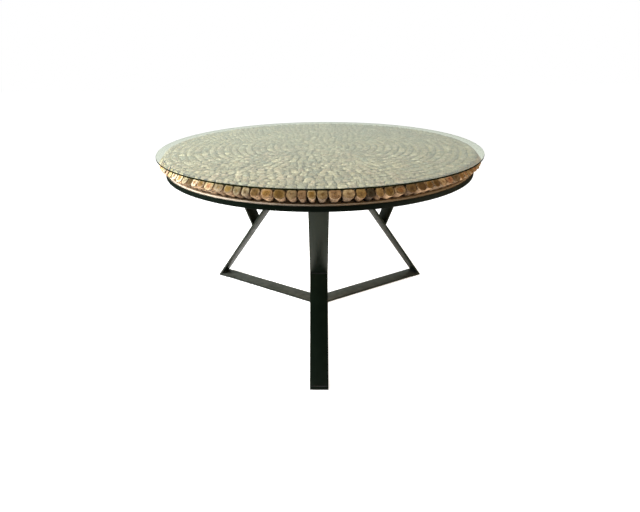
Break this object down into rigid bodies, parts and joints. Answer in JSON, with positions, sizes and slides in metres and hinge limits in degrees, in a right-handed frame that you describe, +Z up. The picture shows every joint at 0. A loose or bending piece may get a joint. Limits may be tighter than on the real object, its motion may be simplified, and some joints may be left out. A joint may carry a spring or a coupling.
{
  "type": "round dining table",
  "caption": "Round dining table: loose glass over a mosaic of upright branch lengths, on a black iron base of three forked legs joined at the floor.",
  "frame": {"origin": "on the floor under the centre of the round top", "axes": "+Z up, -Y towards the front, along the front leg"},
  "size_m": [1.2998, 1.3, 0.76],
  "materials": {
    "glass": "clear float glass with a dark green edge",
    "glass_pad": "clear soft plastic dots",
    "branch": "sawn branch lengths, pale end grain and brown bark, dry and unvarnished",
    "board": "raw sheet of wood with a sawn edge",
    "iron": "flat bar with a satin black coat, rubbed at its edges",
    "foot_pad": "thin black rubber",
    "screw": "bright zinc"
  },
  "bodies": {
    "root": {"glass_top": "glass", "glass_pads": "glass_pad", "branch_rim": "branch", "branch_ring_01": "branch", "branch_ring_02": "branch", "branch_ring_03": "branch", "branch_ring_04": "branch", "branch_ring_05": "branch", "branch_ring_06": "branch", "branch_ring_07": "branch", "branch_ring_08": "branch", "branch_ring_09": "branch", "branch_ring_10": "branch", "branch_ring_11": "branch", "branch_ring_12": "branch", "branch_ring_13": "branch", "branch_ring_14": "branch", "branch_ring_15": "branch", "branch_ring_16": "branch", "branch_ring_17": "branch", "branch_ring_18": "branch", "branch_ring_19": "branch", "branch_ring_20": "branch", "branch_ring_21": "branch", "branch_centre": "branch", "backing_board": "board", "board_screws": "screw", "rim_hoop": "iron", "top_rail_front": "iron", "leg_bar_front": "iron", "leg_brace_front": "iron", "floor_bar_front": "iron", "foot_pad_front": "foot_pad", "top_rail_right": "iron", "leg_bar_right": "iron", "leg_brace_right": "iron", "floor_bar_right": "iron", "foot_pad_right": "foot_pad", "top_rail_left": "iron", "leg_bar_left": "iron", "leg_brace_left": "iron", "floor_bar_left": "iron", "foot_pad_left": "foot_pad"}
  },
  "joints": []
}
